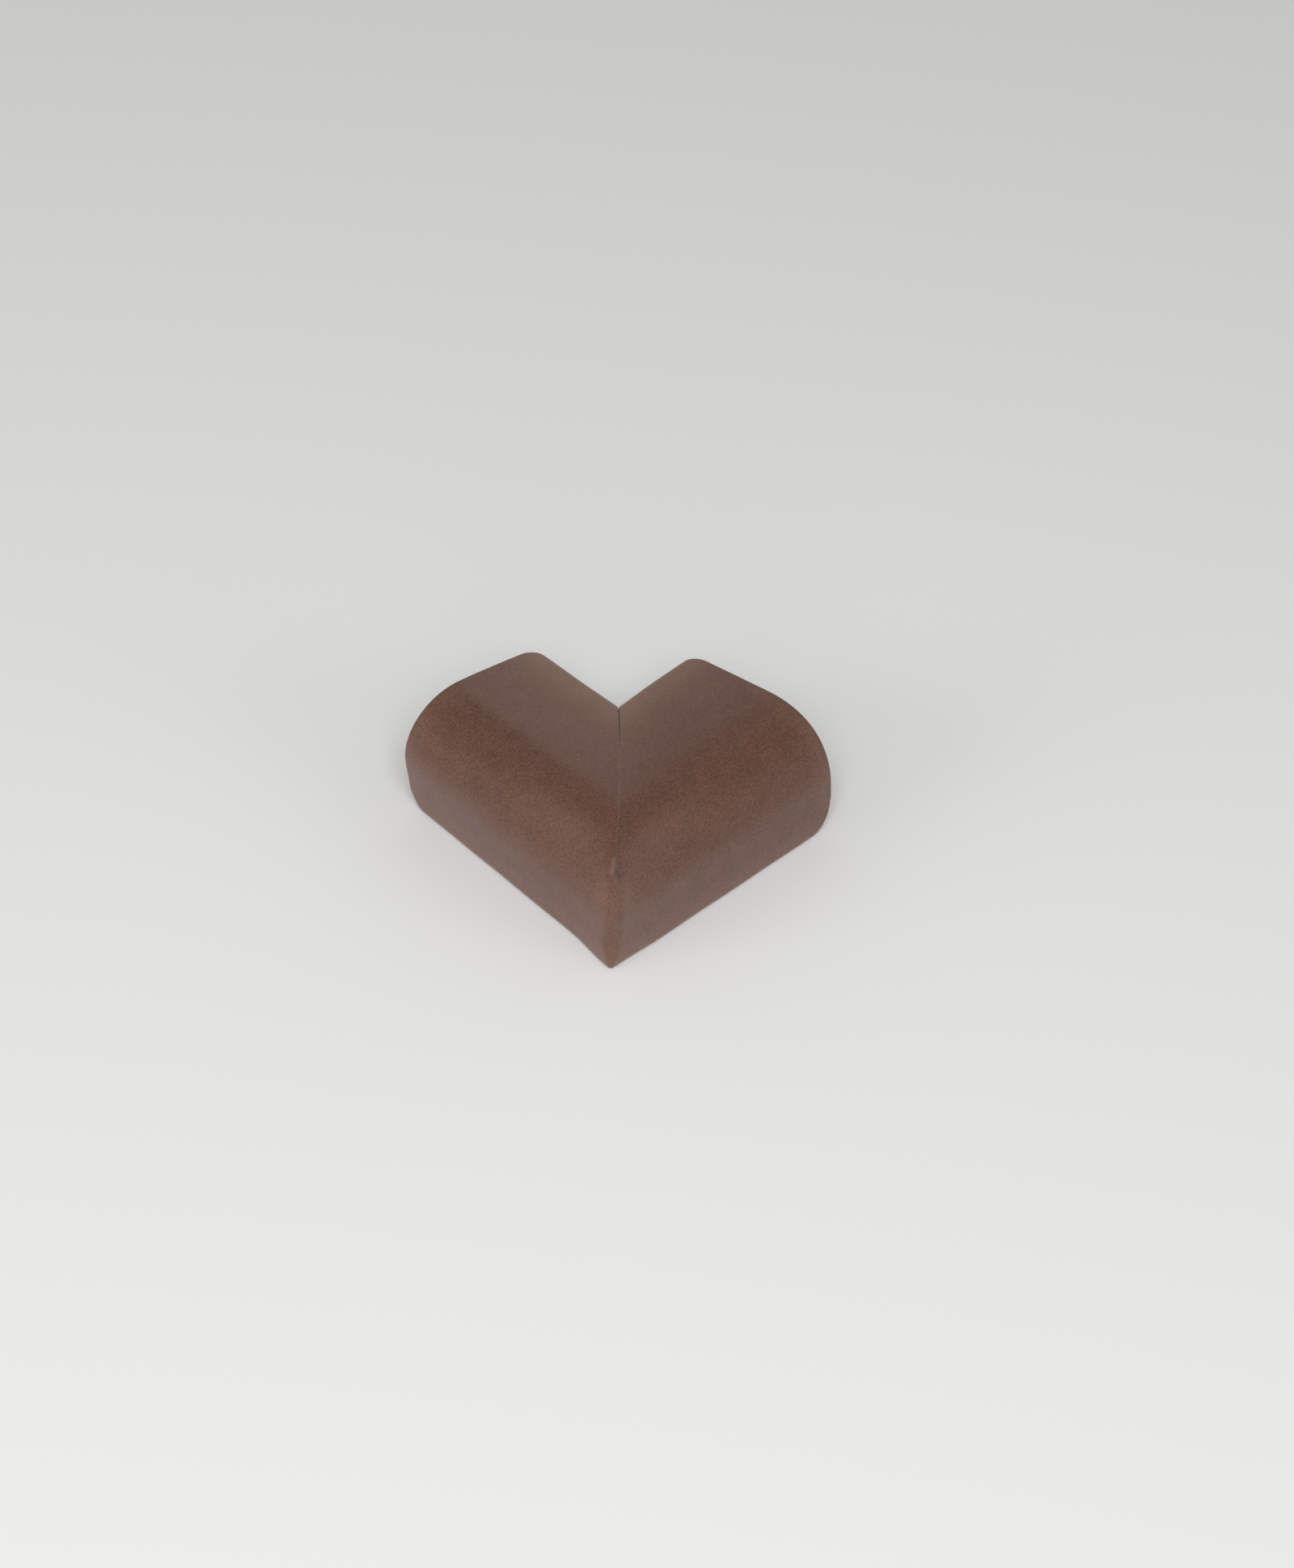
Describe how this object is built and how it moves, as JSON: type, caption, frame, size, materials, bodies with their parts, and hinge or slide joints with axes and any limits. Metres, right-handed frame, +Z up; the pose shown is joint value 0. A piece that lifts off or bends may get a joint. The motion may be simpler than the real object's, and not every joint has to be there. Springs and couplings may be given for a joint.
{
  "type": "furniture corner protector",
  "caption": "Folded foam L-section corner cushion with a mitred top flap, for taping over the corner of a table top.",
  "frame": {"origin": "on the floor plane, under the middle of the square that the two wings span", "axes": "+Z up; one wing runs along +X and the other along +Y from the outer corner, which is at -X -Y"},
  "size_m": [0.055, 0.055, 0.024],
  "materials": {
    "foam": "matt closed-cell foam with a fine moulded skin, brown"
  },
  "bodies": {
    "root": {"foam_corner": "foam"}
  },
  "joints": []
}
